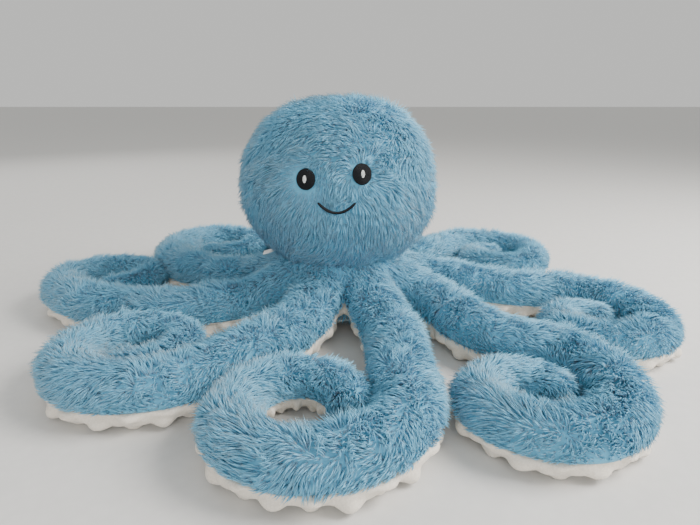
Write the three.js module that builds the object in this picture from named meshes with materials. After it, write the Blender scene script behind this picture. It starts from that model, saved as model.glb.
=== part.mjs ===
// A stuffed plush octopus lying on its eight curled arms, in millimetres, +Z up, face towards -Y.
import * as THREE from 'three';

const rad = THREE.MathUtils.degToRad;
const lerp = THREE.MathUtils.lerp;

// Head: an ellipsoid of plush on a round neck.
const HEAD_RADIUS = 88;
const HEAD_HALF_HEIGHT = 76;
const HEAD_CENTRE_Z = 131;
const NECK_Z = 68.6;
const PLUSH = 2.6; // thickness of the plush backing
const MINKY = 2.2; // thickness of the underside fabric
const GAP = 1.4; // play between a skin and its filling
const SEAM_GAP = 0.4; // play where two edges are sewn together

// Body: a low eight-sided puck between the neck and the arms.
const BODY_FLAT = 56.5; // from the middle to each flat side
const BODY_CORNER = BODY_FLAT / Math.cos(rad(22.5));
const BODY_TURN = 5; // how far the whole ring of arms is turned, in degrees
const BODY_TOP_Z = 66.4;
const BODY_SHOULDER_Z = 60;
const BODY_BOTTOM_Z = 10.5;
const COLLAR_RADIUS = 54; // where the shoulder of the body meets the neck
const COLLAR_WIDTH = 3;
const SHOULDER_SLOPE = 6; // how far the shoulder runs inwards as it starts to rise
const SHOULDER_RISE = 1; // and how far it rises there
const NECK_FILLING_RADIUS = 46;
const NECK_THREAD = { ringRadius: 50, z: 67.5, radius: 0.7, sides: 6 };

// Arms: all of one length and one section, tapering to a round tip.
const ARM_LENGTH = 470;
const ARM_WIDTH = 45.6;
const ARM_HEIGHT = 42;
const TIP_WIDTH = 29;
const TIP_HEIGHT = 29;
const TIP_ROUND = 13; // length over which the tip closes
const ROOT_RADIUS = BODY_FLAT + SEAM_GAP;
const ROOT_LIFT = 11; // how high the underside starts at the body
const ROOT_SWELL = 7; // extra height at the body
const KNEE = 60; // distance along the arm where it meets the ground and folds
const LEAD = 80; // length of the first bend
const MIDDLE = 0.42; // height of an arm's widest place, as a share of its height
const SEAM_ANGLE = -12; // the seam between plush and minky, below the widest place
const FLAT_WIDTH = 0.62; // share of the width that rests flat on the ground
const INNER_FLAT = 0.66; // the same share on the inside of the underside fabric
const HEEL = { across: 0.88, up: 0.1 }; // corner between the flat and the side of the underside
const HALF_WIDTH = ARM_WIDTH / 2;

// firstBend runs over LEAD and secondBend over reach, in degrees, to the left when positive.
// The curl then winds to the right, from its first radius to its last.
const ARMS = [
  { name: 'front_right', root: -62.5, firstBend: -25.3, reach: 77, secondBend: 0, curl: [69.6, 29.2] },
  { name: 'right_front', root: -17.5, firstBend: -62.0, reach: 76, secondBend: 54.1, curl: [73.6, 18.6] },
  { name: 'right', root: 27.5, firstBend: -69.8, reach: 88, secondBend: 45.3, curl: [74.7, 16.5] },
  { name: 'back_right', root: 72.5, firstBend: -52.4, reach: 71, secondBend: 31.5, curl: [71.9, 18.7] },
  { name: 'back', root: 117.5, firstBend: -13.0, reach: 67, secondBend: 7.6, curl: [70.6, 22.6] },
  { name: 'left_back', root: 162.5, firstBend: 0.6, reach: 163, secondBend: -80.7, curl: [58.3, 26.0] },
  { name: 'left', root: -152.5, firstBend: -10.4, reach: 176, secondBend: -72.2, curl: [54.1, 22.7] },
  { name: 'front_left', root: -107.5, firstBend: -13.5, reach: 77, secondBend: -21.1, curl: [69.6, 20.1] },
];

// Face: black embroidery on the front of the head.
const EYE = { halfWidth: 7.6, halfHeight: 8.4, thickness: 1.4, offset: 0.9 };
const HIGHLIGHT = { halfWidth: 2, halfHeight: 2.9, thickness: 0.5 };
const EYES = [
  { name: 'left', azimuth: -106, z: 146 },
  { name: 'right', azimuth: -76.5, z: 150 },
];
const SMILE = { azimuth: -89.6, halfAngle: 9.6, endZ: 128.5, drop: 8, radius: 1.1 };
const LABEL = { azimuth: 185, length: 22, width: 13, thickness: 0.8, rootRadius: 52, rootZ: 68.2, tipZ: 63 };

const plushBlue = { color: 0x5f9cc4, roughness: 0.95, metalness: 0 };
const minkyWhite = { color: 0xe9e5dd, roughness: 0.85, metalness: 0 };
const fillingWhite = { color: 0xf4f4f2, roughness: 1, metalness: 0 };
const threadBlack = { color: 0x121214, roughness: 0.6, metalness: 0 };
const threadWhite = { color: 0xf5f5f5, roughness: 0.6, metalness: 0 };
const threadBlue = { color: 0x4f88ad, roughness: 0.8, metalness: 0 };
const tapeWhite = { color: 0xf0eeea, roughness: 0.7, metalness: 0 };

const group = new THREE.Group();

function addMesh(name, geometry, finish) {
  const mesh = new THREE.Mesh(geometry, new THREE.MeshStandardMaterial(finish));
  mesh.name = name;
  group.add(mesh);
  return mesh;
}

// A closed profile of [radius, z] points turned about the Z axis.
function turned(profile, sides, startAngle = 0) {
  const points = profile.map(([radius, z]) => new THREE.Vector2(radius, z));
  const geometry = new THREE.LatheGeometry(points, sides, startAngle);
  return geometry.rotateX(Math.PI / 2);
}

// Head radius at a height, for a surface moved in by inset.
function headRadius(z, inset) {
  const rise = (z - HEAD_CENTRE_Z) / (HEAD_HALF_HEIGHT - inset);
  return (HEAD_RADIUS - inset) * Math.sqrt(Math.max(0, 1 - rise * rise));
}

// Points of the head's outline from the neck up to the crown.
function headOutline(inset, bottomZ, count) {
  const halfHeight = HEAD_HALF_HEIGHT - inset;
  const start = Math.asin((bottomZ - HEAD_CENTRE_Z) / halfHeight);
  const outline = [];
  for (let i = 0; i <= count; i += 1) {
    const angle = lerp(start, Math.PI / 2, i / count);
    outline.push([(HEAD_RADIUS - inset) * Math.cos(angle), HEAD_CENTRE_Z + halfHeight * Math.sin(angle)]);
  }
  outline[count][0] = 0;
  return outline;
}

function addHead() {
  const outside = headOutline(0, NECK_Z, 13);
  const inside = headOutline(PLUSH, NECK_Z, 9).reverse();
  addMesh('head_plush', turned([...outside, ...inside, outside[0]], 32), plushBlue);
  const filling = headOutline(PLUSH + GAP, NECK_Z + GAP, 9);
  addMesh('head_stuffing', turned([[0, NECK_Z + GAP], ...filling], 32), fillingWhite);
  const { ringRadius, z, radius, sides } = NECK_THREAD;
  const thread = [];
  for (let i = 0; i <= sides; i += 1) {
    const angle = (i / sides) * Math.PI * 2;
    thread.push([ringRadius + radius * Math.cos(angle), z + radius * Math.sin(angle)]);
  }
  addMesh('neck_seam_thread', turned(thread, 32), threadBlue);
}

function addBody() {
  const start = rad(BODY_TURN);
  const skin = BODY_CORNER - PLUSH;
  const floorZ = BODY_BOTTOM_Z + MINKY;
  const collar = [
    [COLLAR_RADIUS, BODY_TOP_Z],
    [COLLAR_RADIUS - COLLAR_WIDTH, BODY_TOP_Z],
    [skin - SHOULDER_SLOPE, BODY_SHOULDER_Z + SHOULDER_RISE],
    [skin, BODY_SHOULDER_Z - PLUSH],
    [skin, floorZ + SEAM_GAP],
    [BODY_CORNER, floorZ + SEAM_GAP],
    [BODY_CORNER, BODY_SHOULDER_Z],
    [COLLAR_RADIUS, BODY_TOP_Z],
  ];
  addMesh('body_plush', turned(collar, 8, start), plushBlue);
  const base = [[0, BODY_BOTTOM_Z], [BODY_CORNER, BODY_BOTTOM_Z], [BODY_CORNER, floorZ], [0, floorZ]];
  addMesh('base_minky', turned(base, 8, start), minkyWhite);
  const inside = skin - GAP;
  const filling = [
    [0, floorZ + GAP],
    [inside, floorZ + GAP],
    [inside, BODY_SHOULDER_Z - PLUSH - GAP],
    [inside - SHOULDER_SLOPE - SHOULDER_RISE, BODY_SHOULDER_Z],
    [NECK_FILLING_RADIUS, BODY_SHOULDER_Z + SHOULDER_RISE],
    [NECK_FILLING_RADIUS, NECK_Z],
    [0, NECK_Z],
  ];
  addMesh('body_stuffing', turned(filling, 8, start), fillingWhite);
}

// Bending of an arm's middle line at a distance along it, in radians per millimetre.
function bendAt(arm, distance) {
  if (distance < LEAD) return rad(arm.firstBend) / LEAD;
  const curlFrom = LEAD + arm.reach;
  if (distance < curlFrom) return rad(arm.secondBend) / arm.reach;
  return -1 / lerp(...arm.curl, (distance - curlFrom) / (ARM_LENGTH - curlFrom));
}

// Walks an arm's middle line in 1 mm steps, keeping the place and heading of each step.
function walkArm(arm) {
  let heading = rad(arm.root);
  let x = ROOT_RADIUS * Math.cos(heading);
  let y = ROOT_RADIUS * Math.sin(heading);
  const walk = [{ x, y, heading }];
  for (let i = 0; i < ARM_LENGTH; i += 1) {
    const turn = bendAt(arm, i + 0.5);
    x += Math.cos(heading + turn / 2);
    y += Math.sin(heading + turn / 2);
    heading += turn;
    walk.push({ x, y, heading });
  }
  return walk;
}

function placeOnWalk(walk, distance) {
  const i = Math.min(Math.floor(distance), ARM_LENGTH - 1);
  const part = distance - i;
  return {
    x: lerp(walk[i].x, walk[i + 1].x, part),
    y: lerp(walk[i].y, walk[i + 1].y, part),
    heading: lerp(walk[i].heading, walk[i + 1].heading, part),
  };
}

// Distances of the cross-sections, closer together where the arm bends tightly.
function stations(arm, from, to, count) {
  const bendWeight = 30;
  const spacing = [0];
  for (let d = from; d < to; d += 1) {
    spacing.push(spacing[spacing.length - 1] + 1 + bendWeight * Math.abs(bendAt(arm, d)));
  }
  const total = spacing[spacing.length - 1];
  const list = [];
  for (let i = 0; i <= count; i += 1) {
    const target = (total * i) / count;
    const step = Math.max(1, spacing.findIndex((value) => value >= target - 1e-9));
    const part = (target - spacing[step - 1]) / (spacing[step] - spacing[step - 1]);
    list.push(Math.min(to, from + step - 1 + part));
  }
  return list;
}

// Width and height of an arm, and the height of its underside, at a distance along it.
function armSize(distance) {
  const taper = (distance / ARM_LENGTH) ** 1.5;
  const rise = Math.max(0, 1 - distance / KNEE) ** 2;
  const past = Math.max(0, (distance - ARM_LENGTH + TIP_ROUND) / TIP_ROUND);
  const closing = Math.max(0.4, Math.sqrt(1 - past * past));
  const height = lerp(ARM_HEIGHT, TIP_HEIGHT, taper) + ROOT_SWELL * rise;
  return {
    width: lerp(ARM_WIDTH, TIP_WIDTH, taper) * closing,
    height: height * closing,
    bottom: ROOT_LIFT * rise + (height * (1 - closing)) / 3,
  };
}

// Upper arch of an arm's cross-section, for a width of 2 and a height of 1.
function archPoints(inset, count) {
  const points = [];
  for (let i = 0; i <= count; i += 1) {
    const angle = rad(lerp(SEAM_ANGLE, 180 - SEAM_ANGLE, i / count));
    const across = (1 - inset / HALF_WIDTH) * Math.cos(angle);
    const up = MIDDLE + (1 - MIDDLE - inset / ARM_HEIGHT) * Math.sin(angle);
    points.push(new THREE.Vector2(across, up));
  }
  return points;
}

function mirrored(points) {
  return points.map((point) => new THREE.Vector2(-point.x, point.y)).reverse();
}

function plushSection() {
  return new THREE.Shape([...archPoints(0, 5), ...archPoints(PLUSH, 3).reverse()]);
}

function minkySection() {
  const seam = archPoints(0, 1)[0];
  const edge = seam.y - SEAM_GAP / ARM_HEIGHT;
  const thick = MINKY / HALF_WIDTH;
  const heel = new THREE.Vector2(HEEL.across, HEEL.up);
  const outer = [new THREE.Vector2(FLAT_WIDTH, 0), heel, new THREE.Vector2(seam.x, edge)];
  const inner = [new THREE.Vector2(seam.x - thick, edge), new THREE.Vector2(INNER_FLAT, MINKY / ARM_HEIGHT)];
  return new THREE.Shape([...outer, ...inner, ...mirrored(inner), ...mirrored(outer)]);
}

function stuffingSection() {
  const low = new THREE.Vector2(INNER_FLAT - GAP / HALF_WIDTH, (MINKY + GAP) / ARM_HEIGHT);
  return new THREE.Shape([low, ...archPoints(PLUSH + GAP, 3), ...mirrored([low])]);
}

// A straight extrusion of the section, laid along the arm through its stations.
function sweptArm(section, walk, list) {
  const steps = list.length - 1;
  const geometry = new THREE.ExtrudeGeometry(section, { depth: 1, steps, bevelEnabled: false });
  const position = geometry.attributes.position;
  for (let i = 0; i < position.count; i += 1) {
    const distance = list[Math.round(position.getZ(i) * steps)];
    const place = placeOnWalk(walk, distance);
    const size = armSize(distance);
    const across = (position.getX(i) * size.width) / 2;
    position.setXYZ(
      i,
      place.x - across * Math.sin(place.heading),
      place.y + across * Math.cos(place.heading),
      size.bottom + position.getY(i) * size.height,
    );
  }
  geometry.computeVertexNormals();
  return geometry;
}

function addArm(arm) {
  const walk = walkArm(arm);
  const closing = [0.55, 0.25, 0].map((part) => ARM_LENGTH - part * TIP_ROUND);
  const parts = [
    { name: 'upper', list: stations(arm, 0, KNEE - SEAM_GAP / 2, 5) },
    { name: 'curl', list: [...stations(arm, KNEE + SEAM_GAP / 2, ARM_LENGTH - TIP_ROUND, 19), ...closing] },
  ];
  for (const part of parts) {
    const label = `${arm.name}_arm_${part.name}`;
    addMesh(`${label}_plush`, sweptArm(plushSection(), walk, part.list), plushBlue);
    addMesh(`${label}_minky`, sweptArm(minkySection(), walk, part.list), minkyWhite);
    const filled = part.name === 'curl' ? part.list.slice(0, -2) : part.list; // stops short of the tip
    addMesh(`${label}_stuffing`, sweptArm(stuffingSection(), walk, filled), fillingWhite);
  }
}

// Puts a mesh drawn in its own XY plane flat against the head, moved out by offset.
function placeOnHead(mesh, azimuth, z, offset) {
  const radius = headRadius(z, 0);
  const direction = new THREE.Vector3(Math.cos(rad(azimuth)), Math.sin(rad(azimuth)), 0);
  const normal = direction.clone().multiplyScalar(radius / HEAD_RADIUS ** 2);
  normal.z = (z - HEAD_CENTRE_Z) / HEAD_HALF_HEIGHT ** 2;
  normal.normalize();
  const right = new THREE.Vector3(0, 0, 1).cross(normal).normalize();
  const up = normal.clone().cross(right);
  mesh.quaternion.setFromRotationMatrix(new THREE.Matrix4().makeBasis(right, up, normal));
  mesh.position.set(direction.x * radius, direction.y * radius, z).addScaledVector(normal, offset);
}

function ovalPad({ halfWidth: across, halfHeight: upward, thickness }, points) {
  const oval = new THREE.Shape();
  oval.absellipse(0, 0, across, upward, 0, Math.PI * 2);
  return new THREE.ExtrudeGeometry(oval, { depth: thickness, curveSegments: points, bevelEnabled: false });
}

// The smile's line: an arc on the head's surface that hangs between its two ends.
class SmileCurve extends THREE.Curve {
  getPoint(t, target = new THREE.Vector3()) {
    const side = 2 * t - 1;
    const azimuth = rad(SMILE.azimuth + SMILE.halfAngle * side);
    const z = SMILE.endZ - SMILE.drop * (1 - side * side);
    const radius = headRadius(z, 0) + SMILE.radius + SEAM_GAP;
    return target.set(radius * Math.cos(azimuth), radius * Math.sin(azimuth), z);
  }
}

function addFace() {
  for (const eye of EYES) {
    const patch = addMesh(`eye_${eye.name}`, ovalPad(EYE, 20), threadBlack);
    placeOnHead(patch, eye.azimuth, eye.z, EYE.offset);
    const shine = addMesh(`eye_highlight_${eye.name}`, ovalPad(HIGHLIGHT, 10), threadWhite);
    placeOnHead(shine, eye.azimuth, eye.z, EYE.offset + EYE.thickness + SEAM_GAP);
  }
  const thread = new THREE.Shape();
  thread.absarc(0, 0, SMILE.radius, 0, Math.PI * 2);
  const path = { extrudePath: new SmileCurve(), steps: 14, curveSegments: 8, bevelEnabled: false };
  addMesh('smile', new THREE.ExtrudeGeometry(thread, path), threadBlack);
}

// The blank care label is a tape sewn into the neck seam, sloping out between two arms.
function addLabel() {
  const tape = new THREE.BoxGeometry(LABEL.length, LABEL.width, LABEL.thickness);
  const label = addMesh('side_label', tape, tapeWhite);
  const slope = Math.asin((LABEL.tipZ - LABEL.rootZ) / LABEL.length);
  const middle = LABEL.rootRadius + (LABEL.length / 2) * Math.cos(slope);
  const azimuth = rad(LABEL.azimuth);
  label.rotation.set(0, -slope, azimuth, 'ZYX');
  label.position.set(middle * Math.cos(azimuth), middle * Math.sin(azimuth), (LABEL.rootZ + LABEL.tipZ) / 2);
}

addHead();
addBody();
addFace();
addLabel();
for (const arm of ARMS) addArm(arm);

// The origin is the middle of the whole object's footprint, on the ground.
const box = new THREE.Box3().setFromObject(group);
const middle = box.getCenter(new THREE.Vector3());
group.position.set(-middle.x, -middle.y, -box.min.z);

export default group;
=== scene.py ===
import math

import bpy
import numpy as np
from mathutils import Euler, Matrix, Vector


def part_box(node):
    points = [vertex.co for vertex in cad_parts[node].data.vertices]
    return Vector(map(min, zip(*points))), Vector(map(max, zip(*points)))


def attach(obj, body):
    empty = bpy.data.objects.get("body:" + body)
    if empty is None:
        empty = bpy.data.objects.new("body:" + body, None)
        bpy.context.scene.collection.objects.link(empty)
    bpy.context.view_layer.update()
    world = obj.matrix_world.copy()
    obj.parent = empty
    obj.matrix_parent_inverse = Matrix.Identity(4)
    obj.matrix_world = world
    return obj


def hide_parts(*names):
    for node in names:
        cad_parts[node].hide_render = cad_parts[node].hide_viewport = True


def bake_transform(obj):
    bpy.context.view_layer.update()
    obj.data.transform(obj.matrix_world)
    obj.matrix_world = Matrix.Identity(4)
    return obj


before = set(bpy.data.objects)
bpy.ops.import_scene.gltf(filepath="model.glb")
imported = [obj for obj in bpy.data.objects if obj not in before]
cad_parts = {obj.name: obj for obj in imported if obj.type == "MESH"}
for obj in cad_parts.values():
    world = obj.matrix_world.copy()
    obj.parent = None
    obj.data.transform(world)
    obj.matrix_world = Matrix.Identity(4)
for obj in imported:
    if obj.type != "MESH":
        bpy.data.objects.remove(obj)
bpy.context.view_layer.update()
print("octopus: frame loaded")

headLow, headHigh = (np.array(corner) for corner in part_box("head_plush"))
baseLow, baseHigh = (np.array(corner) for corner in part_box("base_minky"))
middle = (headLow + headHigh) / 2  # head and body stand on this upright line
middle[2] = 0
# Each dictionary below holds what a user would change in its piece, in metres and degrees.


# Surfaces
def unit(vectors):
    return vectors / np.maximum(np.linalg.norm(vectors, axis=-1, keepdims=True), 1e-12)


def ripple(points, wavelength, seed, waves=9):
    # A smooth field of chance: sine waves in chance directions, each about one wavelength long, added up and
    # divided by the root of half their number.
    rng = np.random.default_rng(seed)
    directions = unit(rng.normal(size=(waves, 3)))
    numbers = 2 * math.pi / (wavelength * rng.uniform(0.7, 1.4, waves))
    phases = rng.uniform(0, 2 * math.pi, waves)
    return np.sin(points @ (directions * numbers[:, None]).T + phases).sum(-1) / math.sqrt(waves / 2)


def rippleVectors(points, wavelength, seed):
    return np.stack([ripple(points, wavelength, seed + k) for k in range(3)], -1)


def tube(points, material=0, band=(0, 1)):
    # Rows of closed rings joined by quads, with a fan from a middle point over the first and the last ring.
    rows, columns = points.shape[:2]
    r, c = np.meshgrid(np.arange(rows - 1), np.arange(columns), indexing="ij")
    n = (c + 1) % columns
    quads = np.stack([r * columns + c, r * columns + n, (r + 1) * columns + n, (r + 1) * columns + c], -1)
    u0, u1, v0, v1 = (r + 1) / (rows + 1), (r + 2) / (rows + 1), c / columns, (c + 1) / columns
    quadMap = np.stack([np.stack(corner, -1) for corner in ((u0, v0), (u0, v1), (u1, v1), (u1, v0))], 2)
    ring = np.arange(columns)
    after = (ring + 1) % columns
    first, last = rows * columns, rows * columns + 1
    lastRow = (rows - 1) * columns
    fans = np.concatenate([
        np.stack([np.full(columns, first), after, ring], -1),
        np.stack([np.full(columns, last), lastRow + ring, lastRow + after], -1),
    ])
    low, high = 1 / (rows + 1), rows / (rows + 1)
    v0, v1 = ring / columns, (ring + 1) / columns
    flat = np.zeros(columns)
    between = (v0 + v1) / 2
    firstFan = ((flat, between), (flat + low, v1), (flat + low, v0))
    lastFan = ((flat + 1, between), (flat + high, v0), (flat + high, v1))
    fanMap = np.concatenate([
        np.stack([np.stack(corner, -1) for corner in fan], 1) for fan in (firstFan, lastFan)
    ])
    uv = np.concatenate([quadMap.reshape(-1, 2), fanMap.reshape(-1, 2)])
    uv[:, 1] = band[0] + (band[1] - band[0]) * uv[:, 1]
    middles = np.stack([points[0].mean(0), points[-1].mean(0)])
    return {
        "points": np.concatenate([points.reshape(-1, 3), middles]),
        "loops": np.concatenate([quads.reshape(-1), fans.reshape(-1)]),
        "sizes": np.concatenate([np.full((rows - 1) * columns, 4), np.full(2 * columns, 3)]),
        "uv": uv,
        "along": np.zeros(rows * columns + 2),
        "tint": np.zeros(rows * columns + 2),
        "material": material,
    }


def pile(roots, normals, flow, length, width, seed, lean=0.95, band=(0, 1), material=0):
    # Tapered strands of three sides. A strand starts between the normal and the flow, and bends towards the
    # flow. Its place at t is root + length (t start + t t / 2 (end - start)). It comes to a point at t = 1.
    rng = np.random.default_rng(seed)
    count = len(roots)
    stray = rng.normal(size=(count, 3))
    start = unit(normals + flow * lean + stray * 0.09)
    end = unit(normals * 0.20 + flow + stray * 0.12)
    side = unit(np.cross(flow, normals) + stray * 0.3)
    long = (length * rng.uniform(0.72, 1.12, count))[:, None]
    thick = (width * rng.uniform(0.75, 1.2, count))[:, None]
    points = []
    for t, share in ((0.0, 1.0), (0.5, 0.82), (1.0, 0.0)):
        centre = roots - normals * 0.0006 + long * (t * start + t * t / 2 * (end - start))
        over = unit(np.cross(side, start + t * (end - start)))
        for k in range(3 if share else 1):
            turn = 2 * math.pi * k / 3
            points.append(centre + thick / 2 * share * (math.cos(turn) * side + math.sin(turn) * over * 0.8))
    points = np.stack(points, 1)
    points[..., 2] = np.maximum(points[..., 2], 0.0005)
    quads = np.array([[0, 1, 4, 3], [1, 2, 5, 4], [2, 0, 3, 5]])
    threes = np.array([[3, 4, 6], [4, 5, 6], [5, 3, 6], [0, 2, 1]])
    local = np.concatenate([quads.reshape(-1), threes.reshape(-1)])
    loops = (np.arange(count)[:, None] * 7 + local).reshape(-1)
    # One cell of the map for each strand, with its three sides next to each other.
    cells = math.ceil(math.sqrt(count))
    sideMap = [[(k, 0), (k + 1, 0), (k + 1, 0.5), (k, 0.5)] for k in range(3)]
    tipMap = [[(k, 0.5), (k + 1, 0.5), (k + 0.5, 1)] for k in range(3)]
    strandMap = np.array(sum(sideMap, []) + sum(tipMap, []) + [(0, 0), (0.1, 0), (0, 0.02)], float) / (3, 1)
    cell = np.stack([np.arange(count) % cells, np.arange(count) // cells], -1)
    uv = ((cell[:, None, :] + 0.06 + 0.88 * strandMap) / cells).reshape(-1, 2)
    uv[:, 1] = band[0] + (band[1] - band[0]) * uv[:, 1]
    return {
        "points": points.reshape(-1, 3),
        "loops": loops,
        "sizes": np.tile(np.array([4, 4, 4, 3, 3, 3, 3]), count),
        "uv": uv,
        "along": np.tile(np.array([0, 0, 0, 0.5, 0.5, 0.5, 1.0]), count),
        "tint": np.repeat(rng.uniform(0, 1, count), 7),
        "material": material,
    }


def piece(name, shells, materials):
    # Puts the shells into one mesh, with a bake map and the attributes that the materials read.
    mesh = bpy.data.meshes.new(name)
    starts = np.cumsum([0] + [len(s["points"]) for s in shells])
    loops = np.concatenate([s["loops"] + start for s, start in zip(shells, starts)])
    sizes = np.concatenate([s["sizes"] for s in shells])
    points = np.concatenate([s["points"] for s in shells])
    mesh.vertices.add(len(points))
    mesh.vertices.foreach_set("co", points.astype(np.float32).ravel())
    mesh.loops.add(len(loops))
    mesh.loops.foreach_set("vertex_index", loops.astype(np.int32))
    mesh.polygons.add(len(sizes))
    mesh.polygons.foreach_set("loop_start", np.concatenate([[0], np.cumsum(sizes)[:-1]]).astype(np.int32))
    slots = np.concatenate([np.full(len(s["sizes"]), s["material"]) for s in shells])
    mesh.polygons.foreach_set("material_index", slots.astype(np.int32))
    mesh.update(calc_edges=True)
    mesh.polygons.foreach_set("use_smooth", np.ones(len(sizes), bool))
    uvMap = mesh.uv_layers.new(name="OFBake")
    uvMap.data.foreach_set("uv", np.concatenate([s["uv"] for s in shells]).astype(np.float32).ravel())
    for attribute in ("along", "tint"):
        values = np.concatenate([s[attribute] for s in shells]).astype(np.float32)
        mesh.attributes.new(attribute, "FLOAT", "POINT").data.foreach_set("value", values)
    for material in materials:
        mesh.materials.append(material)
    made = bpy.data.objects.new(name, mesh)
    bpy.context.scene.collection.objects.link(made)
    return made


# Materials
def node(tree, kind, **values):
    made = tree.nodes.new(kind)
    for key, value in values.items():
        if key in made.inputs:
            made.inputs[key].default_value = value
        else:
            setattr(made, key, value)
    return made


def mixColour(tree, factor, a, b, blendType="MIX"):
    made = node(tree, "ShaderNodeMix", data_type="RGBA", blend_type=blendType)
    for socket, value in ((made.inputs[0], factor), (made.inputs[6], a), (made.inputs[7], b)):
        if isinstance(value, bpy.types.NodeSocket):
            tree.links.new(value, socket)
        else:
            socket.default_value = value
    return made.outputs[2]


def fibreGroup():
    # Uneven dye and handling marks: a broad and a fine noise, as a factor round one, and a fine height.
    tree = bpy.data.node_groups.new("fibreVariation", "ShaderNodeTree")
    for name, value in (("Broad scale", 14.0), ("Fine scale", 260.0), ("Amount", 0.2)):
        socket = tree.interface.new_socket(name, in_out="INPUT", socket_type="NodeSocketFloat")
        socket.default_value = value
    for name in ("Shade", "Height"):
        tree.interface.new_socket(name, in_out="OUTPUT", socket_type="NodeSocketFloat")
    inside = node(tree, "NodeGroupInput")
    outside = node(tree, "NodeGroupOutput")
    place = node(tree, "ShaderNodeTexCoord").outputs["Object"]
    broad = node(tree, "ShaderNodeTexNoise", Detail=3.0, Roughness=0.55)
    fine = node(tree, "ShaderNodeTexNoise", Detail=4.0, Roughness=0.65)
    tree.links.new(place, broad.inputs["Vector"])
    tree.links.new(place, fine.inputs["Vector"])
    tree.links.new(inside.outputs["Broad scale"], broad.inputs["Scale"])
    tree.links.new(inside.outputs["Fine scale"], fine.inputs["Scale"])
    both = node(tree, "ShaderNodeMath", operation="ADD")
    tree.links.new(broad.outputs["Fac"], both.inputs[0])
    tree.links.new(fine.outputs["Fac"], both.inputs[1])
    centred = node(tree, "ShaderNodeMath", operation="SUBTRACT")
    centred.inputs[1].default_value = 1.0
    tree.links.new(both.outputs[0], centred.inputs[0])
    scaled = node(tree, "ShaderNodeMath", operation="MULTIPLY_ADD")
    scaled.inputs[2].default_value = 1.0
    tree.links.new(centred.outputs[0], scaled.inputs[0])
    tree.links.new(inside.outputs["Amount"], scaled.inputs[1])
    tree.links.new(scaled.outputs[0], outside.inputs["Shade"])
    tree.links.new(fine.outputs["Fac"], outside.inputs["Height"])
    return tree


fibre = fibreGroup()


def startMaterial(name, roughness, sheen=0.0, sheenRoughness=0.4, specular=0.3):
    material = bpy.data.materials.new(name)
    material.use_nodes = True
    tree = material.node_tree
    shader = tree.nodes["Principled BSDF"]
    shader.inputs["Roughness"].default_value = roughness
    shader.inputs["Sheen Weight"].default_value = sheen
    shader.inputs["Sheen Roughness"].default_value = sheenRoughness
    shader.inputs["Specular IOR Level"].default_value = specular
    return material, tree, shader


def variation(tree, broad, fine, amount):
    made = node(tree, "ShaderNodeGroup", node_tree=fibre)
    for name, value in (("Broad scale", broad), ("Fine scale", fine), ("Amount", amount)):
        made.inputs[name].default_value = value
    return made


def addBump(tree, shader, height, strength, distance):
    bump = node(tree, "ShaderNodeBump", Strength=strength, Distance=distance)
    tree.links.new(height, bump.inputs["Height"])
    tree.links.new(bump.outputs["Normal"], shader.inputs["Normal"])


def pileMaterial(name, rootColour, midColour, tipColour):
    # Strand colour: darker at the root as painted shade deep in the pile, paler at the tip, and each strand a
    # little different.
    material, tree, shader = startMaterial(name, 0.82, sheen=0.35, sheenRoughness=0.5, specular=0.25)
    along = node(tree, "ShaderNodeAttribute", attribute_name="along").outputs["Fac"]
    tint = node(tree, "ShaderNodeAttribute", attribute_name="tint").outputs["Fac"]
    # painted shade: the ramp darkens each strand towards its root
    ramp = node(tree, "ShaderNodeValToRGB")
    ramp.color_ramp.elements[0].color = rootColour
    ramp.color_ramp.elements[1].color = tipColour
    ramp.color_ramp.elements.new(0.45).color = midColour
    tree.links.new(along, ramp.inputs["Fac"])
    strand = node(tree, "ShaderNodeMapRange")
    strand.inputs["To Min"].default_value = 0.92
    strand.inputs["To Max"].default_value = 1.06
    tree.links.new(tint, strand.inputs["Value"])
    uneven = variation(tree, 16.0, 320.0, 0.22)
    shade = node(tree, "ShaderNodeMath", operation="MULTIPLY")
    tree.links.new(strand.outputs["Result"], shade.inputs[0])
    tree.links.new(uneven.outputs["Shade"], shade.inputs[1])
    colour = mixColour(tree, 1.0, ramp.outputs["Color"], shade.outputs[0], "MULTIPLY")
    tree.links.new(colour, shader.inputs["Base Color"])
    addBump(tree, shader, uneven.outputs["Height"], 0.15, 0.0004)
    return material


def clothMaterial(name, colour, shadeColour, roughness, fine, amount, strength, sheen=0.2):
    # Cloth colour from the uneven dye. It is darkened towards the shade colour away from the middles of fine
    # Voronoi cells, as painted shade between the tufts of the nap, with a fine raised nap.
    material, tree, shader = startMaterial(name, roughness, sheen=sheen)
    uneven = variation(tree, 22.0, fine, amount)
    tone = mixColour(tree, 1.0, colour, uneven.outputs["Shade"], "MULTIPLY")
    nap = node(tree, "ShaderNodeTexVoronoi", Scale=fine * 2.2)
    place = node(tree, "ShaderNodeTexCoord").outputs["Object"]
    tree.links.new(place, nap.inputs["Vector"])
    # painted shade: towards the edges of the nap's cells the colour goes up to 0.45 of the way to the shade
    # colour
    paintedNapShade = node(tree, "ShaderNodeMapRange")
    paintedNapShade.inputs["From Max"].default_value = 0.8
    paintedNapShade.inputs["To Min"].default_value = 0.0
    paintedNapShade.inputs["To Max"].default_value = 0.45
    tree.links.new(nap.outputs["Distance"], paintedNapShade.inputs["Value"])
    tree.links.new(mixColour(tree, paintedNapShade.outputs["Result"], tone, shadeColour), shader.inputs["Base Color"])
    addBump(tree, shader, uneven.outputs["Height"], strength, 0.0006)
    return material


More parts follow.
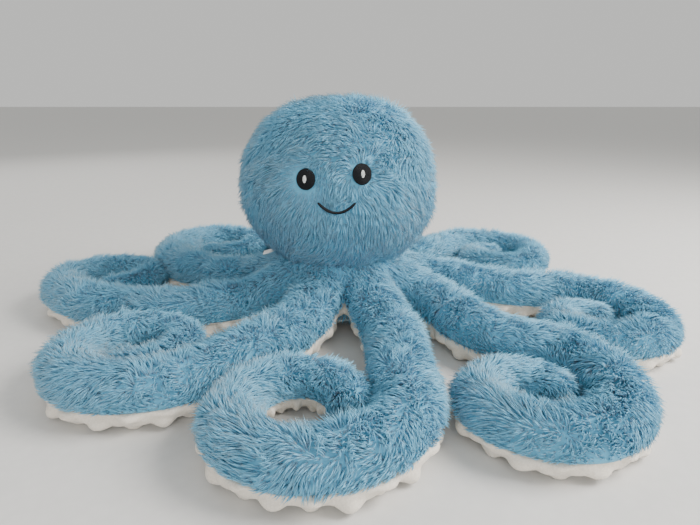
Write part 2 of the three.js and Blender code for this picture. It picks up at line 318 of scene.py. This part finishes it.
def threadMaterial(name, colour, crestHighlight, roughness, lines):
    # Satin stitches: fine parallel threads, each a raised line whose raised back is paler, a painted
    # highlight along each thread.
    material, tree, shader = startMaterial(name, roughness, sheen=0.02, specular=0.16)
    place = node(tree, "ShaderNodeTexCoord").outputs["Object"]
    threads = node(tree, "ShaderNodeTexWave", wave_type="BANDS", bands_direction="X", Scale=lines)
    threads.inputs["Distortion"].default_value = 1.2
    threads.inputs["Detail"].default_value = 2.0
    threads.inputs["Detail Scale"].default_value = 2.0
    tree.links.new(place, threads.inputs["Vector"])
    uneven = variation(tree, 60.0, 900.0, 0.35)
    # painted highlight: the raised crest of each thread takes the paler colour
    tone = mixColour(tree, threads.outputs["Fac"], colour, crestHighlight)
    shaded = mixColour(tree, 1.0, tone, uneven.outputs["Shade"], "MULTIPLY")
    tree.links.new(shaded, shader.inputs["Base Color"])
    addBump(tree, shader, threads.outputs["Fac"], 0.5, 0.0003)
    return material


plushPile = pileMaterial(
    "plushPile", (0.145, 0.43, 0.61, 1), (0.155, 0.455, 0.65, 1), (0.185, 0.50, 0.69, 1)
)
plushBacking = clothMaterial(
    "plushBacking", (0.145, 0.43, 0.61, 1), (0.115, 0.37, 0.54, 1),
    roughness=0.95, fine=240.0, amount=0.3, strength=0.4,
)
minky = clothMaterial(
    "minky", (0.80, 0.74, 0.645, 1), (0.58, 0.515, 0.43, 1),
    roughness=0.9, fine=420.0, amount=0.22, strength=0.8, sheen=0.35,
)
blackThread = threadMaterial(
    "blackThread", (0.005, 0.0055, 0.0065, 1), (0.014, 0.015, 0.018, 1), roughness=0.6, lines=620.0
)
whiteThread = threadMaterial(
    "whiteThread", (0.78, 0.79, 0.78, 1), (0.9, 0.9, 0.88, 1), roughness=0.5, lines=620.0
)
seamThread = threadMaterial(
    "seamThread", (0.10, 0.20, 0.27, 1), (0.16, 0.28, 0.36, 1), roughness=0.7, lines=300.0
)
labelTape = clothMaterial(
    "labelTape", (0.82, 0.81, 0.78, 1), (0.66, 0.65, 0.62, 1),
    roughness=0.55, fine=700.0, amount=0.10, strength=0.3,
)
print("octopus: materials made")


# Head
head = {
    "radius": (headHigh - headLow)[0] / 2,
    "centreZ": 0.131,
    "neckZ": headLow[2],
    "strands": 32000,
    "pileLength": 0.0135,
    "strandWidth": 0.00095,
    "squareness": 2.3,  # 2 is a plain ellipsoid
    "crown": (0.35, -0.1, 1.0),  # the pile runs down and outwards from this side
}
head["halfHeight"] = headHigh[2] - head["centreZ"]
eyes = {
    "left": {"azimuth": -106.0, "z": 0.1460},
    "right": {"azimuth": -76.5, "z": 0.1500},
}
# lift is the height over the head, and dome is what the middle rises over the edge.
eye = {"across": 0.0078, "upward": 0.0086, "lift": 0.0038, "dome": 0.0016, "stitch": 0.0011}
shine = {"across": 0.0015, "upward": 0.0031, "lift": 0.0054, "dome": 0.0006, "stitch": 0.0005}
smile = {
    "azimuth": -89.8,
    "halfAngle": 9.5,
    "endZ": 0.1285,
    "drop": 0.0080,  # how far the middle hangs below the ends
    "radius": 0.0012,
    "lift": 0.0050,
}


def headPoint(azimuth, latitude, inset=0.0):
    # An ellipsoid pushed out between its axes: cosine and sine are divided by (|cos|^n + |sin|^n)^(1/n).
    n = head["squareness"]
    share = (np.abs(np.cos(latitude)) ** n + np.abs(np.sin(latitude)) ** n) ** (-1 / n)
    radius = (head["radius"] - inset) * share * np.cos(latitude)
    z = head["centreZ"] + (head["halfHeight"] - inset) * share * np.sin(latitude)
    x = middle[0] + radius * np.cos(azimuth)
    y = middle[1] + radius * np.sin(azimuth)
    return np.stack(np.broadcast_arrays(x, y, z), -1)


def headNormals(points):
    # The gradient of (r / radius)^n + (z / half height)^n.
    away = points - middle - (0, 0, head["centreZ"])
    n = head["squareness"]
    across = np.hypot(away[..., 0], away[..., 1])
    steep = across ** (n - 2) / head["radius"] ** n
    z = away[..., 2]
    rise = np.sign(z) * np.abs(z) ** (n - 1) / head["halfHeight"] ** n
    return unit(np.stack([away[..., 0] * steep, away[..., 1] * steep, rise], -1))


def latitudeAt(z):
    # The latitude of a height, looked up on the head's outline.
    latitude = np.linspace(-math.pi / 2, math.pi / 2, 721)
    return np.interp(z, headPoint(0 * latitude, latitude)[:, 2], latitude)


def faceFrame(azimuth, z):
    # The place on the head at an azimuth and height, with the directions to the right, up and outwards.
    turn = math.radians(azimuth)
    base = headPoint(turn, latitudeAt(z))
    outward = headNormals(base)
    right = unit(np.cross((0, 0, 1), outward))
    return base, right, np.cross(outward, right), outward


def smileLine(share):
    # From -1 at one end to 1 at the other the azimuth grows evenly. The height hangs by 1 - share squared.
    z = smile["endZ"] - smile["drop"] * (1 - share**2)
    return headPoint(np.radians(smile["azimuth"] + smile["halfAngle"] * share), latitudeAt(z))


def makeHead():
    latitude = np.linspace(latitudeAt(head["neckZ"] + 0.0005), math.pi / 2 - 0.03, 48)
    azimuth = np.linspace(0, 2 * math.pi, 96, endpoint=False)
    skin = headPoint(azimuth[None, :], latitude[:, None], inset=0.0008)
    skin += headNormals(skin) * (ripple(skin, 0.06, 3) * 0.0006)[..., None]
    made = piece("head_skin", [tube(skin)], [plushBacking])
    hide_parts("head_plush", "head_stuffing")
    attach(made, "body")


def headPile():
    rng = np.random.default_rng(11)
    count = int(head["strands"] * 1.25)
    low = math.sin(latitudeAt(head["neckZ"] - 0.001))
    latitude = np.arcsin(rng.uniform(low, 1, count))
    azimuth = rng.uniform(-math.pi, math.pi, count)
    roots = headPoint(azimuth, latitude)
    normals = headNormals(roots)
    crown = unit(np.array(head["crown"]))
    flow = -(crown - (normals @ crown)[:, None] * normals)
    flow = unit(flow) * np.minimum(1, np.linalg.norm(flow, axis=1) * 2.2)[:, None]
    flow += rippleVectors(roots, 0.060, 21) * 0.30 + rippleVectors(roots, 0.016, 31) * 0.26
    length = np.full(count, head["pileLength"])
    keep = np.ones(count, bool)
    # The pile parts round the eyes and the smile, and is shorter there.
    for place in eyes.values():
        base, right, up, outward = faceFrame(place["azimuth"], place["z"])
        away = roots - base
        x, y = away @ right, away @ up
        reach = np.sqrt((x / eye["across"]) ** 2 + (y / eye["upward"]) ** 2)
        clear = (reach - 1) * eye["across"]
        near = np.where(away @ outward > -0.03, np.exp(-np.maximum(clear, 0) / 0.008), 0)
        keep &= ~((clear < 0.0001) & (away @ outward > -0.03))
        flow += (x[:, None] * right + y[:, None] * up) / 0.009 * (near * 1.4)[:, None]
        length *= 1 - 0.48 * near
    line = smileLine(np.linspace(-1, 1, 41))
    apart = roots[:, None, :] - line[None, :, :]
    gap = np.linalg.norm(apart, axis=-1)
    nearest = gap.argmin(1)
    gap = gap.min(1)
    near = np.exp(-gap / 0.006)
    keep &= gap > smile["radius"] + 0.0006
    flow += apart[np.arange(count), nearest] / 0.006 * (near * 1.0)[:, None]
    length *= 1 - 0.60 * near
    flow -= (flow * normals).sum(1, keepdims=True) * normals
    chosen = np.nonzero(keep)[0][: head["strands"]]
    front = roots[:, 1] < middle[1]
    for name, side in (("front", front), ("back", ~front)):
        some = chosen[side[chosen]]
        seed = 41 + len(name)
        shell = pile(roots[some], normals[some], flow[some], length[some], head["strandWidth"], seed)
        made = piece(f"head_pile_{name}", [shell], [plushPile])
        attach(made, "body")


makeHead()
headPile()
print("octopus: head made")


# Face
def ovalPatch(name, place, size, material, cadNode):
    # A domed oval: rings from the middle out, raised by dome (1 - share squared) with a ridge for each round
    # of stitches, then an edge that goes down into the pile and a flat back.
    base, right, up, outward = faceFrame(place["azimuth"], place["z"])
    share = np.concatenate([np.linspace(0.03, 0.97, 44), [1.0, 1.02, 0.99, 0.5]])
    rounds = size["upward"] / size["stitch"]
    height = size["lift"] + size["dome"] * (1 - share**2) + 0.00020 * np.cos(2 * math.pi * rounds * share)
    height[-4:] = size["lift"] + np.array([-0.0003, -0.0012, -0.0026, -0.0030])
    angle = np.linspace(0, 2 * math.pi, 72, endpoint=False)
    x = size["across"] * share[:, None] * np.cos(angle)
    y = size["upward"] * share[:, None] * np.sin(angle)
    fall = (x**2 / head["radius"] + y**2 / head["halfHeight"]) / 2
    rise = height[:, None] - fall
    points = base + x[..., None] * right + y[..., None] * up + rise[..., None] * outward
    made = piece(name, [tube(points[::-1])], [material])
    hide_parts(cadNode)
    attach(made, "body")


def makeSmile():
    # A round cord of stitches carried along the smile's line, thinner towards both ends.
    share = np.linspace(-1, 1, 90)
    line = smileLine(share)
    outward = headNormals(line)
    line = line + outward * smile["lift"]
    ahead = unit(np.gradient(line, axis=0))
    side = unit(np.cross(outward, ahead))
    angle = np.linspace(0, 2 * math.pi, 14, endpoint=False)
    ends = np.sqrt(np.clip(1 - np.abs(share) ** 14, 0.06, 1))
    radius = smile["radius"] * ends * (1 + 0.07 * np.cos(share * 190))
    cosine, sine = np.cos(angle)[None, :, None], np.sin(angle)[None, :, None]
    ring = cosine * side[:, None, :] + sine * outward[:, None, :]
    made = piece("mouth", [tube(line[:, None, :] + radius[:, None, None] * ring)], [blackThread])
    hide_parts("smile")
    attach(made, "body")


for side, place in eyes.items():
    ovalPatch(f"eye_stitching_{side}", place, eye, blackThread, f"eye_{side}")
    ovalPatch(f"eye_shine_{side}", place, shine, whiteThread, f"eye_highlight_{side}")
makeSmile()
print("octopus: face made")


# Body
body = {
    "strands": 5200,
    "pileLength": 0.0120,
    "strandWidth": 0.0011,
    "pileFrom": 0.016,
    "pileTo": 0.0665,
}
# Each ring of the body: its radius and height, from the underside up to the neck.
bodyProfile = np.array([
    (0.030, 0.0134), (0.052, 0.0136), (0.0572, 0.0160), (0.0582, 0.025), (0.0584, 0.040), (0.0582, 0.052),
    (0.0572, 0.0590), (0.0560, 0.0625), (0.0540, 0.0655), (0.0500, 0.0672), (0.030, 0.0676),
])
bodySides = bodyProfile[2:10]  # the rings that carry pile
dots = {"radius": 0.0062, "height": 0.0036, "pitch": 0.0185, "rise": 0.0026, "power": 0.45}
label = {
    "azimuth": 185,
    "length": 0.024,
    "width": 0.013,
    "thickness": 0.0008,
    "rootRadius": 0.052,
    "rootZ": 0.0682,
    "drop": 0.0052,
    "wave": 0.0006,
}


def dotHeight(u, v):
    # Dots in staggered rows. Within a dot's radius of the nearest place in the row the height follows
    # (1 + cos(pi share)) / 2, to a power below one that makes the bump fuller.
    rowPitch = dots["pitch"] * 0.866
    row = np.round(u / rowPitch)
    shift = np.mod(row, 2) * dots["pitch"] / 2
    column = np.round((v - shift) / dots["pitch"])
    apart = np.hypot(u - row * rowPitch, v - shift - column * dots["pitch"])
    share = np.minimum(apart / dots["radius"], 1)
    return dots["height"] * (0.5 + 0.5 * np.cos(math.pi * share)) ** dots["power"]


def makeBody():
    # A low turned puck, with its rings evenly spaced between the points of the profile.
    even = np.linspace(0, len(bodyProfile) - 1, 40)
    radius, z = (np.interp(even, np.arange(len(bodyProfile)), bodyProfile[:, k]) for k in range(2))
    azimuth = np.linspace(0, 2 * math.pi, 72, endpoint=False)
    x = middle[0] + radius[:, None] * np.cos(azimuth)
    y = middle[1] + radius[:, None] * np.sin(azimuth)
    skin = np.stack([x, y, np.broadcast_to(z[:, None], x.shape)], -1)
    made = piece("body_skin", [tube(skin)], [plushBacking])
    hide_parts("body_plush", "body_stuffing")
    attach(made, "body")
    rng = np.random.default_rng(51)
    count = body["strands"]
    turn = rng.uniform(0, 2 * math.pi, count)
    height = rng.uniform(body["pileFrom"], body["pileTo"], count)
    outside = np.interp(height, bodySides[:, 1], bodySides[:, 0])
    outward = np.stack([np.cos(turn), np.sin(turn), np.zeros(count)], -1)
    roots = middle + outward * outside[:, None] + np.stack([turn * 0, turn * 0, height], -1)
    slope = np.clip((height - 0.058) / 0.008, 0, 1.2)  # the normals turn upwards over the shoulder
    normals = unit(outward + np.stack([turn * 0, turn * 0, slope], -1))
    flow = np.array([0, 0, -0.8]) + outward * 0.5 + rippleVectors(roots, 0.013, 61) * 0.4
    flow -= (flow * normals).sum(1, keepdims=True) * normals
    length = np.full(count, body["pileLength"])
    made = piece("body_pile", [pile(roots, normals, flow, length, body["strandWidth"], 71)], [plushPile])
    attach(made, "body")


def makeBase():
    # A flat round of underside fabric: rings from the middle of its back, over the edge, to the middle below.
    outer = (baseHigh - baseLow)[0] / 2 - 0.0015
    share = np.concatenate([np.linspace(0.05, 0.97, 8), [1.0], np.linspace(0.98, 0.02, 60)])
    azimuth = np.linspace(0, 2 * math.pi, 120, endpoint=False)
    x = outer * share[:, None] * np.cos(azimuth)
    y = outer * share[:, None] * np.sin(azimuth)
    z = np.full_like(x, baseLow[2] + 0.0012)
    z[:8] = baseHigh[2]
    z[8] = (baseLow[2] + baseHigh[2]) / 2
    z[9:] -= dotHeight(x[9:], y[9:]) * np.minimum(1, (1 - share[9:, None]) / 0.06)
    made = piece("body_underside", [tube(np.stack([middle[0] + x, middle[1] + y, z], -1)[::-1])], [minky])
    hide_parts("base_minky")
    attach(made, "body")


def makeLabel():
    # A blank tape with a flat rounded section, carried out and down from the neck seam with a slight wave.
    turn = math.radians(label["azimuth"])
    outward = np.array([math.cos(turn), math.sin(turn), 0])
    side = np.array([-math.sin(turn), math.cos(turn), 0])
    share = np.linspace(0, 1, 24)
    out = label["rootRadius"] + label["length"] * 0.97 * share
    z = label["rootZ"] - label["drop"] * share**1.2 + label["wave"] * np.sin(share * 5)
    line = middle + outward * out[:, None] + np.stack([share * 0, share * 0, z], -1)
    angle = np.linspace(0, 2 * math.pi, 40, endpoint=False)
    across = label["width"] / 2 * np.sign(np.cos(angle)) * np.abs(np.cos(angle)) ** 0.35
    thick = label["thickness"] / 2 * np.sign(np.sin(angle)) * np.abs(np.sin(angle)) ** 0.35
    ring = across[:, None] * side + thick[:, None] * np.array([0, 0, 1])
    made = piece("blank_label", [tube(line[:, None, :] + ring[None, :, :])], [labelTape])
    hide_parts("side_label")
    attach(made, "body")


makeBody()
makeBase()
makeLabel()
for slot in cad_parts["neck_seam_thread"].material_slots:
    slot.material = seamThread
print("octopus: body made")


# Arms
arm = {
    "length": 0.470,
    "width": 0.0456,
    "height": 0.042,
    "tipWidth": 0.029,
    "tipHeight": 0.029,
    "tipRound": 0.013,
    "rootRadius": 0.0569,
    "rootLift": 0.011,
    "rootSwell": 0.007,
    "liftOff": 0.060,  # over this length the underside comes down to the ground
    "lead": 0.080,
    "widest": 0.42,  # height of the widest place, as a share of the height
    "seam": 2,  # the seam lies this many degrees below the widest place
    "strandsPerMetre": 31500,
    "pileLength": 0.0125,
    "strandWidth": 0.00096,
}
# Each arm has three lengths of fabric: one next to the body, one over the fold, one curled.
lengths = {"root": (-0.004, 0.042), "knee": (0.042, 0.084), "curl": (0.084, arm["length"])}
# root heading, first bend, reach, second bend, and the radius at the start and the end of the curl
arms = {
    "front_right": (-62.5, -25.3, 0.077, 0.0, 0.0696, 0.0292),
    "right_front": (-17.5, -62.0, 0.076, 54.1, 0.0736, 0.0186),
    "right": (27.5, -69.8, 0.088, 45.3, 0.0747, 0.0165),
    "back_right": (72.5, -52.4, 0.071, 31.5, 0.0719, 0.0187),
    "back": (117.5, -13.0, 0.067, 7.6, 0.0706, 0.0226),
    "left_back": (162.5, 0.6, 0.163, -80.7, 0.0583, 0.0260),
    "left": (-152.5, -10.4, 0.176, -72.2, 0.0541, 0.0227),
    "front_left": (-107.5, -13.5, 0.077, -21.1, 0.0696, 0.0201),
}


def walkArm(shape):
    # The middle line in steps of a millimetre: the heading adds up the bends, the place adds up the headings.
    root, firstBend, reach, secondBend, curlStart, curlEnd = shape
    step = 0.001
    along = np.arange(step / 2, arm["length"], step)
    curlFrom = arm["lead"] + reach
    radius = curlStart + (curlEnd - curlStart) * (along - curlFrom) / (arm["length"] - curlFrom)
    second = np.where(along < curlFrom, math.radians(secondBend) / reach, -1 / radius)
    turn = np.where(along < arm["lead"], math.radians(firstBend) / arm["lead"], second) * step
    heading = math.radians(root) + np.concatenate([[0], np.cumsum(turn)])
    halfway = heading[:-1] + turn / 2
    x = arm["rootRadius"] * math.cos(heading[0]) + np.concatenate([[0], np.cumsum(np.cos(halfway) * step)])
    y = arm["rootRadius"] * math.sin(heading[0]) + np.concatenate([[0], np.cumsum(np.sin(halfway) * step)])
    return {
        "along": np.arange(len(heading)) * step,
        "x": middle[0] + x,
        "y": middle[1] + y,
        "heading": heading,
    }


def onWalk(walk, along):
    inside = np.maximum(along, 0)
    x, y, heading = (np.interp(inside, walk["along"], walk[key]) for key in ("x", "y", "heading"))
    before = np.minimum(along, 0)
    return x + before * np.cos(heading), y + before * np.sin(heading), heading


def armSize(along):
    # Width, height and height of the underside. Width and height taper with the share of the length to the
    # power 1.5, and the tip closes as a circle.
    taper = np.clip(along / arm["length"], 0, 1) ** 1.5
    rise = np.clip(1 - along / arm["liftOff"], 0, 1) ** 2
    past = np.clip((along - arm["length"] + arm["tipRound"]) / arm["tipRound"], 0, 1)
    closing = np.sqrt(np.clip(1 - past**2, 0.015, 1))
    width = (arm["width"] + (arm["tipWidth"] - arm["width"]) * taper) * closing
    height = arm["height"] + (arm["tipHeight"] - arm["height"]) * taper + arm["rootSwell"] * rise
    bottom = arm["rootLift"] * rise + height * (1 - closing) / 2.6
    return width, height * closing, bottom


def inArm(walk, along, across, up):
    # A place in the arm, from its distance along and its shares of the width and the height.
    x, y, heading = onWalk(walk, along)
    width, height, bottom = armSize(along)
    aside = across * width / 2
    place = (x - aside * np.sin(heading), y + aside * np.cos(heading), bottom + up * height)
    return np.stack(np.broadcast_arrays(*place), -1)


def archShares(angle):
    return np.cos(angle), arm["widest"] + (1 - arm["widest"]) * np.sin(angle)


seamAcross, seamUp = archShares(math.radians(-arm["seam"]))


def bellyShares(angle):
    # Half a rounded box from seam to seam: both shares follow the angle to the power two thirds.
    across = seamAcross * np.sign(np.cos(angle)) * np.abs(np.cos(angle)) ** (2 / 3)
    return across, seamUp * (1 - np.abs(np.sin(angle)) ** (2 / 3))


def plushSkin(walk, start, end, seed, band):
    # The arch over the top of the arm, closed below by a nearly flat inside.
    rows = max(12, int((end - start) / 0.0035))
    along = np.linspace(start, end, rows)[:, None]
    arch = np.radians(np.linspace(-arm["seam"], 180 + arm["seam"], 29))
    across, up = archShares(arch)
    inside = np.linspace(-seamAcross, seamAcross, 7)[1:-1]
    across = np.concatenate([across, inside])[None, :]
    up = np.concatenate([up, np.full(5, seamUp + 0.01)])[None, :]
    points = inArm(walk, along, across, up)
    core = inArm(walk, along, 0, arm["widest"])
    points += unit(points - core) * (ripple(points, 0.045, seed) * 0.0007 - 0.0008)[..., None]
    return tube(points, material=1, band=band)


def armPile(walk, start, end, seed, band):
    # Roots all over the arch. The pile runs along the arm and down its sides, and lies in small tufts.
    rng = np.random.default_rng(seed)
    count = int(arm["strandsPerMetre"] * (end - start))
    along = start + (end - start) * rng.uniform(0, 1, count)
    angle = np.radians(rng.uniform(-arm["seam"] + 1, 180 + arm["seam"] - 1, count))
    roots = inArm(walk, along, *archShares(angle))
    before, after = (inArm(walk, along + step, *archShares(angle)) for step in (-0.0005, 0.0005))
    ahead = unit(after - before)
    around = unit(inArm(walk, along, *archShares(angle + 0.01)) - roots)
    normals = unit(np.cross(ahead, around) * -1)
    centre = inArm(walk, along, 0, arm["widest"])
    normals *= np.sign(((roots - centre) * normals).sum(1, keepdims=True))
    down = np.array([0, 0, -1.0])
    aboveSeam = np.degrees(np.minimum(angle, math.pi - angle)) + arm["seam"]
    hang = np.clip((aboveSeam - 6) / 40, 0, 1)[:, None]  # next to the seam the pile lies along the arm
    flow = ahead * (0.85 - 0.40 * hang) + down * (0.60 * hang - 0.04)
    flow = flow + rippleVectors(roots, 0.060, seed + 5) * 0.24
    flow += rippleVectors(roots, 0.018, seed + 9) * 0.24 * (0.4 + 0.6 * hang)
    flow -= (flow * normals).sum(1, keepdims=True) * normals
    width, _, _ = armSize(along)
    length = arm["pileLength"] * (0.45 + 0.55 * np.clip(width / arm["width"], 0, 1))
    length *= 0.55 + 0.45 * np.clip(aboveSeam / 45, 0, 1)
    return pile(roots, normals, flow, length, arm["strandWidth"], seed + 2, lean=0.8, band=band)


def bellySkin(walk, start, end):
    # The underside from seam to seam, evenly spaced round its girth. Its dots are raised outwards and pressed
    # flat where they meet the ground, and a flat inside closes it above.
    dense = np.linspace(0, math.pi, 400)
    across, up = bellyShares(dense)
    steps = np.hypot(np.diff(across) * arm["width"] / 2, np.diff(up) * arm["height"])
    girth = np.concatenate([[0], np.cumsum(steps)])
    columns = 46
    girthAt = np.linspace(0, girth[-1], columns)
    across, up = bellyShares(np.interp(girthAt, girth, dense))
    rows = max(20, int((end - start) / 0.00135))
    along = np.linspace(start, end, rows)[:, None]
    outside = inArm(walk, along, across[None, :], up[None, :])
    core = inArm(walk, along, 0, arm["widest"])
    width, _, _ = armSize(along)
    fromSeam = np.minimum(girthAt, girth[-1] - girthAt)
    # The dots fade out towards the tip and the seams.
    fade = np.clip((arm["length"] - 0.004 - along) / 0.01, 0, 1) * np.clip(fromSeam / 0.003, 0, 1)
    aside = (girthAt - girth[-1] / 2) * width / arm["width"] + dots["pitch"] / 2
    lift = dotHeight(along + 0 * girthAt, aside) * fade
    gathers = ripple(outside, 0.014, 17) * 0.0005 + ripple(outside, 0.045, 19) * 0.0006
    points = outside + unit(outside - core) * (lift + gathers * fade)[..., None]
    points[..., 2] += dots["rise"] * np.sin(math.pi * girthAt / girth[-1])
    points[..., 2] = np.maximum(points[..., 2], 0.0003)
    inside = np.linspace(-seamAcross, seamAcross, 7)[1:-1]
    back = inArm(walk, along, inside[None, :], seamUp - 0.02)
    return tube(np.concatenate([points, back], 1))


def settle(made, name, part):
    # The curl rides as one on its own body. The first and the second length keep their place, baked into the
    # mesh.
    if part == "curl":
        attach(made, f"{name}_curl")
        return
    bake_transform(made)


def makeArm(index, name, shape):
    walk = walkArm(shape)
    for part, (start, end) in lengths.items():
        seed = 1000 + 100 * index + 30 * list(lengths).index(part)
        strands = armPile(walk, start, end, seed, (0, 0.9))
        shells = [strands, plushSkin(walk, start, end, seed + 20, (0.91, 1))]
        plush = piece(f"{name}_arm_{part}_plush_cover", shells, [plushPile, plushBacking])
        belly = piece(f"{name}_arm_{part}_underside", [bellySkin(walk, start, end)], [minky])
        if part != "knee":
            cadNode = f"{name}_arm_{'upper' if part == 'root' else 'curl'}"
            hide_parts(f"{cadNode}_plush", f"{cadNode}_stuffing")
            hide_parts(f"{cadNode}_minky")
        settle(plush, name, part)
        settle(belly, name, part)


for index, (name, shape) in enumerate(arms.items()):
    makeArm(index, name, shape)
print("octopus: arms made")


# Floor, light and camera
camera = {"right": 0.011, "back": 0.510, "height": 0.205, "pitch": 16.87, "lens": 27.05}


def makeFloor():
    material = clothMaterial(
        "floorPaper", (0.66, 0.655, 0.64, 1), (0.60, 0.595, 0.58, 1),
        roughness=0.85, fine=60.0, amount=0.04, strength=0.03, sheen=0.0,
    )
    far = 30
    mesh = bpy.data.meshes.new("floor")
    mesh.from_pydata([(-far, -far, 0), (far, -far, 0), (far, far, 0), (-far, far, 0)], [], [(0, 1, 2, 3)])
    mesh.materials.append(material)
    floor = bpy.data.objects.new("floor", mesh)
    bpy.context.scene.collection.objects.link(floor)


def addLamp(name, place, size, power, colour):
    # A square soft lamp that looks at the middle of the object.
    lamp = bpy.data.lights.new(name, "AREA")
    lamp.size = size
    lamp.energy = power
    lamp.color = colour
    made = bpy.data.objects.new(name, lamp)
    made.location = place
    aim = np.array([0, 0, 0.08]) - np.array(place)
    flat = math.hypot(aim[0], aim[1])
    made.rotation_euler = Euler((math.atan2(flat, -aim[2]), 0, math.atan2(aim[1], aim[0]) - math.pi / 2))
    bpy.context.scene.collection.objects.link(made)


def makeCamera():
    seen = bpy.data.cameras.new("camera")
    seen.lens = camera["lens"]
    seen.clip_start = 0.01
    made = bpy.data.objects.new("camera", seen)
    made.location = (middle[0] + camera["right"], middle[1] - camera["back"], camera["height"])
    made.rotation_euler = Euler((math.radians(90 - camera["pitch"]), 0, 0))
    bpy.context.scene.collection.objects.link(made)
    bpy.context.scene.camera = made


makeFloor()
addLamp("keyLamp", (1.05, -0.25, 0.90), 0.7, 33, (1.0, 0.97, 0.93))
addLamp("fillLamp", (0.1, -1.7, 0.40), 1.4, 17, (0.96, 0.98, 1.0))
addLamp("backLamp", (-0.9, 1.1, 1.1), 1.2, 9, (1.0, 0.98, 0.95))
world = bpy.data.worlds.new("studio")
world.use_nodes = True
world.node_tree.nodes["Background"].inputs["Color"].default_value = (0.80, 0.80, 0.78, 1)
world.node_tree.nodes["Background"].inputs["Strength"].default_value = 0.85
bpy.context.scene.world = world
makeCamera()
print("octopus: stage made")
